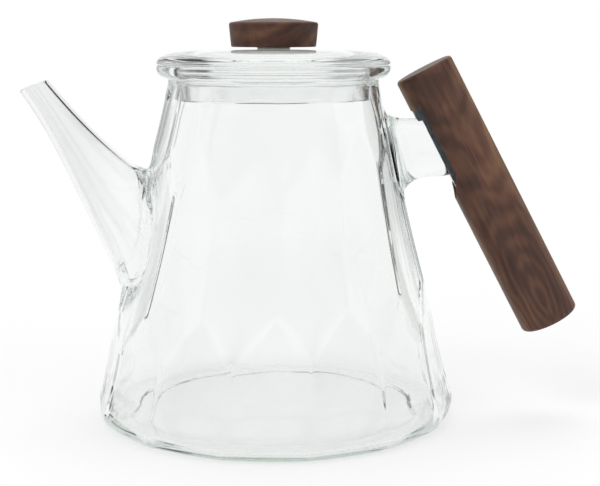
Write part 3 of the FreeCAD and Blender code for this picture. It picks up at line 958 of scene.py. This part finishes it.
press = pressed_facets()
pattern = {
    "Facets_Round": FACETS_ROUND,
    "First_Ridge": math.radians(FIRST_RIDGE),
    "Ridge_Lean": math.radians(RIDGE_LEAN) / MM,
    "Upper_Zigzag": UPPER_ZIGZAG * MM,
    "Lower_Zigzag": LOWER_ZIGZAG * MM,
    "Tilt": 0.005,
    "Waviness": 0.00014,
    "Glass": vessel_glass,
}
vessel = new_piece("vessel", lathe("vessel", outside_profile(), BODY_SEGMENTS, ridge_columns))
grow(vessel, press, Pressing=0.85, Ridge_Softness=0.035, Zigzag_Softness=0.0003, Neck_Start=0.117,
     Neck_End=0.1245, Heel_Press=0.45, Heel_Start=0.0, Heel_End=0.010, Seed=0.0, **pattern)
cavity = new_piece("cavity", lathe("cavity", cavity_profile(), CAVITY_SEGMENTS, ridge_columns))
grow(cavity, press, Pressing=0.70, Ridge_Softness=0.06, Zigzag_Softness=0.0004, Neck_Start=0.112,
     Neck_End=0.122, Heel_Press=0.0, Heel_Start=0.004, Heel_End=0.016, Seed=0.37, **pattern)
spout = new_piece("spout", loft("spout", spout_rings(inset=0, end=1, lip=-1)))
bore = new_piece("bore", loft("bore", spout_rings(SPOUT_WALL, BORE_END, BORE_FLARE)))
bracket = new_piece("bracket", loft("bracket", bracket_rings()))
tongue_mesh = slot_block(TONGUE_START, TONGUE_LENGTH, TONGUE_WIDTH, TONGUE_BOTTOM, TONGUE_TOP)
tongue = new_piece("tongue", tongue_mesh)
bevel(tongue, TONGUE_EDGES)
welds = {piece: surface_of(piece) for piece in (vessel, cavity, spout, bore, bracket)}
for first, last, reach in (
    (vessel, spout, SPOUT_WELD),
    (vessel, bracket, BRACKET_WELD),
    (cavity, bore, BORE_WELD),
):
    melt(first, welds[last], reach)
    melt(last, welds[first], reach)
combine(vessel, "UNION", spout)
combine(vessel, "UNION", combine(bracket, "UNION", tongue))
combine(vessel, "DIFFERENCE", combine(cavity, "UNION", bore))
finish(vessel, vessel_glass, GLASS_CRISP)


# Lid


def lid_edge(start, end, slope):
    """The soft edge of the lid, from its widest place up and in to the start of its dome."""
    width = start[0] - end[0]
    pull = LID_EDGE_PULL
    poles = (start, (start[0], start[1] + pull * (end[1] - start[1])),
             (end[0] + pull * width, end[1] - slope * pull * width), end)
    points = []
    for step in range(1, LID_EDGE_STEPS + 1):
        t = step / LID_EDGE_STEPS
        shares = ((1 - t) ** 3, 3 * t * (1 - t) ** 2, 3 * t * t * (1 - t), t**3)
        points.append(tuple(sum(share * place for share, place in zip(shares, axis)) for axis in zip(*poles)))
    return points


def lid_profile():
    """The profile of the lid, from the middle of its underside round its skirt and soft edge to its crown."""
    seat = RIM_TOP + LID_GAP
    inside = SKIRT_RADIUS - SKIRT_WALL
    root = SKIRT_ROOT_FILLET
    edge = LID_EDGE_ROUNDING
    shoulder = LID_RADIUS - LID_EDGE_SPREAD
    crown = LID_TOP - LID_SHOULDER
    dome = (shoulder**2 + crown**2) / (2 * crown)
    points = [(0, LID_UNDERSIDE)]
    points += arc((inside - root, LID_UNDERSIDE - root), root, 90, 0, 6)
    points += arc((inside + SKIRT_ROUNDING, SKIRT_BOTTOM + SKIRT_ROUNDING), SKIRT_ROUNDING, 180, 270, 6)
    points += arc((SKIRT_RADIUS - SKIRT_ROUNDING, SKIRT_BOTTOM + SKIRT_ROUNDING), SKIRT_ROUNDING, -90, 0, 6)
    points += arc((SKIRT_RADIUS + SEAT_FILLET, seat - SEAT_FILLET), SEAT_FILLET, 180, 90, 5)
    points += arc((LID_RADIUS - edge, seat + edge), edge, -90, 0, 8)
    points += lid_edge((LID_RADIUS, RIM_TOP + LID_EDGE_LAND), (shoulder, LID_SHOULDER), shoulder / dome)
    for step in range(1, LID_DOME_STEPS + 1):
        radius = shoulder * (1 - step / LID_DOME_STEPS)
        points.append((radius, LID_TOP - dome + math.sqrt(dome**2 - radius**2)))
    return points


lid = new_piece("lid", lathe("lid", lid_profile(), LID_SEGMENTS))
finish(lid, lid_clear, GLASS_CRISP)


# Knob and its fixing


def knob_profile():
    """The turned knob, from its bore round its outside to the middle of its crown."""
    lower = KNOB_ROUNDING / 2
    flare = (KNOB_TOP_RADIUS - KNOB_BASE_RADIUS) / (KNOB_SHOULDER - KNOB_BOTTOM)
    side = KNOB_SHOULDER - KNOB_ROUNDING
    shoulder = KNOB_TOP_RADIUS - KNOB_ROUNDING

    def crown(radius):
        """The height of the knob's crown at a radius."""
        return KNOB_TOP - (KNOB_TOP - KNOB_SHOULDER) * (radius / KNOB_TOP_RADIUS) ** 2

    points = [(0, INSERT_TOP), (INSERT_RADIUS, INSERT_TOP), (INSERT_RADIUS, KNOB_BOTTOM)]
    points += arc((KNOB_BASE_RADIUS - lower, KNOB_BOTTOM + lower), lower, -90, 0, 5)
    for height in (KNOB_BOTTOM + KNOB_SIDE_HOLDS[0], side - KNOB_SIDE_HOLDS[1], side):
        points.append((KNOB_BASE_RADIUS + flare * (height - KNOB_BOTTOM), height))
    for step in range(1, KNOB_EDGE_STEPS + 1):
        angle = math.radians(90 * step / KNOB_EDGE_STEPS)
        rise = (crown(shoulder) - side) * math.sin(angle)
        points.append((shoulder + KNOB_ROUNDING * math.cos(angle), side + rise))
    for step in range(1, KNOB_CROWN_STEPS + 1):
        radius = shoulder * (1 - step / KNOB_CROWN_STEPS)
        points.append((radius, crown(radius)))
    return points


knob = new_piece("knob", lathe("knob", knob_profile(), KNOB_SEGMENTS))
finish(knob, knob_walnut, WOOD_CRISP)


def knurled_ring():
    """Teeth round a circle: a wedge on each point, turned outwards."""
    inputs = [
        ("Geometry", "Geometry", None),
        ("Teeth", "Int", 24),
        ("Radius", "Float", 0.005),
        ("Height", "Float", 0.0),
        ("Tooth Width", "Float", 0.0005),
        ("Tooth Height", "Float", 0.0008),
        ("Metal", "Material", None),
    ]
    tree, given, result = new_group("knurled_ring", "GeometryNodeTree", inputs, [("Geometry", "Geometry")])
    circle = add(tree, "GeometryNodeMeshCircle", Vertices=given["Teeth"], Radius=given["Radius"])
    lift = add(tree, "ShaderNodeCombineXYZ", Z=given["Height"])
    circle = add(tree, "GeometryNodeSetPosition", Geometry=circle, Offset=lift)
    place = add(tree, "GeometryNodeInputPosition")
    x, y, _ = add(tree, "ShaderNodeSeparateXYZ", None, Vector=place).outputs
    outwards = calc(tree, "ADD", calc(tree, "ARCTAN2", y, x), math.radians(45))
    turn = add(tree, "ShaderNodeCombineXYZ", Z=outwards)
    width = given["Tooth Width"]
    size = add(tree, "ShaderNodeCombineXYZ", X=width, Y=width, Z=given["Tooth Height"])
    tooth = add(tree, "GeometryNodeMeshCube", Size=size)
    teeth = add(tree, "GeometryNodeInstanceOnPoints", Points=circle, Instance=tooth, Rotation=turn)
    joined = add(tree, "GeometryNodeJoinGeometry", None)
    wire(tree, teeth, joined.inputs[0])
    wire(tree, given["Geometry"], joined.inputs[0])
    wire(tree, realized(tree, joined.outputs[0], given["Metal"]), result["Geometry"])
    return tree


def insert_profile():
    """The brass insert: a collar under the knob and a plug in its bore."""
    collar = COLLAR_RADIUS - KNURL_DEPTH
    plug = INSERT_RADIUS - INSERT_FIT
    top = INSERT_TOP - INSERT_FIT
    lower_in, lower_up = COLLAR_LOWER_EDGE
    upper_in, upper_down = COLLAR_UPPER_EDGE
    return [(0, COLLAR_BOTTOM), (collar - lower_in, COLLAR_BOTTOM), (collar, COLLAR_BOTTOM + lower_up),
            (collar, KNOB_BOTTOM - upper_down), (collar - upper_in, KNOB_BOTTOM), (plug, KNOB_BOTTOM),
            (plug, top), (0, top)]


insert = new_piece("insert", lathe("insert", insert_profile(), INSERT_SEGMENTS))
grow(insert, knurled_ring(), Teeth=KNURL_TEETH, Radius=(COLLAR_RADIUS - KNURL_DEPTH - TOOTH_SINK) * MM,
     Height=(COLLAR_BOTTOM + KNOB_BOTTOM) / 2 * MM, Tooth_Width=TOOTH_WIDTH * MM,
     Tooth_Height=(KNOB_BOTTOM - COLLAR_BOTTOM - TOOTH_MARGIN) * MM, Metal=brass)
finish(insert, brass, METAL_CRISP)


# Handle


def grip_profile():
    """The turned bar along its own axis, with rounded ends."""
    half = HANDLE_LENGTH / 2
    rounding = HANDLE_END_ROUNDING
    points = [(0, -half)]
    points += arc((HANDLE_RADIUS - rounding, rounding - half), rounding, -90, 0, 8)
    points += divided([points[-1], (HANDLE_RADIUS, half - rounding)], HANDLE_ROW)[1:-1]
    points += arc((HANDLE_RADIUS - rounding, half - rounding), rounding, 0, 90, 8)
    return points + [(0, half)]


grip_mesh = lathe("grip", grip_profile(), HANDLE_SEGMENTS)
grip_mesh.transform(Matrix.Scale(MM, 4) @ HANDLE_FRAME @ Matrix.Scale(1 / MM, 4))
grip = new_piece("grip", grip_mesh)
slot = slot_block(SLOT_START, SLOT_LENGTH, SLOT_WIDTH, HANDLE_RADIUS - SLOT_DEPTH, 2 * HANDLE_RADIUS)
combine(grip, "DIFFERENCE", new_piece("slot", slot))
combine(grip, "DIFFERENCE", new_piece("flat", flat_block()))
bevel(grip, HANDLE_EDGES)
finish(grip, handle_walnut, WOOD_CRISP)


# What each piece stands for

for piece, body, slot, nodes in (
    (vessel, "pot", "clear_glass", ("body_shell", "spout", "handle_bracket")),
    (grip, "pot", "walnut", ("handle_grip",)),
    (lid, "lid", "clear_glass", ("lid_glass",)),
    (knob, "lid", "walnut", ("lid_knob",)),
    (insert, "lid", "brass", ("knob_insert",)),
):
    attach(piece, body)
    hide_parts(*nodes)
for node, material in (("handle_bond", bond), ("knob_bond", pale_bond)):
    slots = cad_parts[node].data.materials
    slots.clear()
    slots.append(material)


# Floor, light and camera


def seen_rays(tree):
    """1 for rays from the camera or by way of glass and gloss, and 0 for rays that carry light."""
    rays = add(tree, "ShaderNodeLightPath", None).outputs
    seen = calc(tree, "MAXIMUM", rays["Is Camera Ray"], rays["Is Glossy Ray"])
    return calc(tree, "MAXIMUM", seen, rays["Is Transmission Ray"])


def floor_material():
    """A pale floor that shows white to the camera and in the glass, and keeps the pot's shadow."""
    material, tree, shader, output = new_material("pale_floor")
    shader.inputs["Roughness"].default_value = STAGE_ROUGHNESS
    shader.inputs["Base Color"].default_value = STAGE_COLOUR
    place = add(tree, "ShaderNodeTexCoord", "Object")
    x, y, _ = add(tree, "ShaderNodeSeparateXYZ", None, Vector=place).outputs
    share = fade(tree, from_axis(tree, x, y), *STAGE_GLOW_REACH, *STAGE_GLOW_LEVELS)
    mix = add(tree, "ShaderNodeMixShader", None)
    wire(tree, product(tree, seen_rays(tree), share), mix.inputs[0])
    wire(tree, shader.outputs[0], mix.inputs[1])
    wire(tree, add(tree, "ShaderNodeEmission"), mix.inputs[2])
    wire(tree, mix.outputs[0], output.inputs["Surface"])
    return material


def studio():
    """White to the camera and dim as light; in the glass, cards at the sides and behind the camera."""
    world = bpy.data.worlds.new("studio")
    world.use_nodes = True
    tree = world.node_tree
    tree.nodes.clear()
    direction = add(tree, "ShaderNodeTexCoord", "Generated")
    side, back, up = add(tree, "ShaderNodeSeparateXYZ", None, Vector=direction).outputs
    beside = ramp(tree, calc(tree, "MULTIPLY_ADD", side, 0.5, 0.5), greys(SIDE_CARDS))
    behind_camera = ramp(tree, up, greys(CAMERA_SIDE_CARDS))
    in_glass = blend(tree, fade(tree, back, *CAMERA_SIDE, 1.0, 0.0), beside, behind_camera)
    lit = blend(tree, seen_rays(tree), ROOM_LIGHT, in_glass)
    around = blend(tree, add(tree, "ShaderNodeLightPath", "Is Camera Ray"), lit, WHITE)
    background = add(tree, "ShaderNodeBackground", Color=around, Strength=1.0)
    wire(tree, background, add(tree, "ShaderNodeOutputWorld", None).inputs["Surface"])
    return world


def soft_box(name, place, size, power):
    """A large soft lamp that faces the pot and isn't seen in the glass."""
    lamp = bpy.data.lights.new(name, "AREA")
    lamp.shape = "RECTANGLE"
    lamp.size, lamp.size_y = size
    lamp.energy = power
    holder = bpy.data.objects.new(name, lamp)
    bpy.context.scene.collection.objects.link(holder)
    holder.location = place
    holder.rotation_euler = (Vector(LAMPS_AIM) - Vector(place)).to_track_quat("-Z", "Y").to_euler()
    holder.visible_glossy = False
    holder.visible_transmission = False


floor = new_piece("floor", lathe("floor", STAGE_PROFILE, STAGE_SEGMENTS))
floor.data.materials.append(floor_material())
bpy.context.scene.world = studio()
for lamp in LAMPS:
    soft_box(*lamp)

lens = bpy.data.cameras.new("photo_camera")
lens.sensor_fit = "HORIZONTAL"
lens.sensor_width = SENSOR_WIDTH
lens.lens = FOCAL_PIXELS * SENSOR_WIDTH / PHOTO_WIDTH
lens.clip_start = 0.01
camera = bpy.data.objects.new("photo_camera", lens)
bpy.context.scene.collection.objects.link(camera)
camera.location = Vector(CAMERA_PLACE) * MM
camera.rotation_euler = (math.radians(90 - CAMERA_PITCH), 0, 0)
bpy.context.scene.camera = camera

bpy.context.scene.view_settings.view_transform = "Standard"
for limit in ("max_bounces", "glossy_bounces", "transmission_bounces", "transparent_max_bounces"):
    setattr(bpy.context.scene.cycles, limit, GLASS_BOUNCES)

bpy.context.view_layer.update()
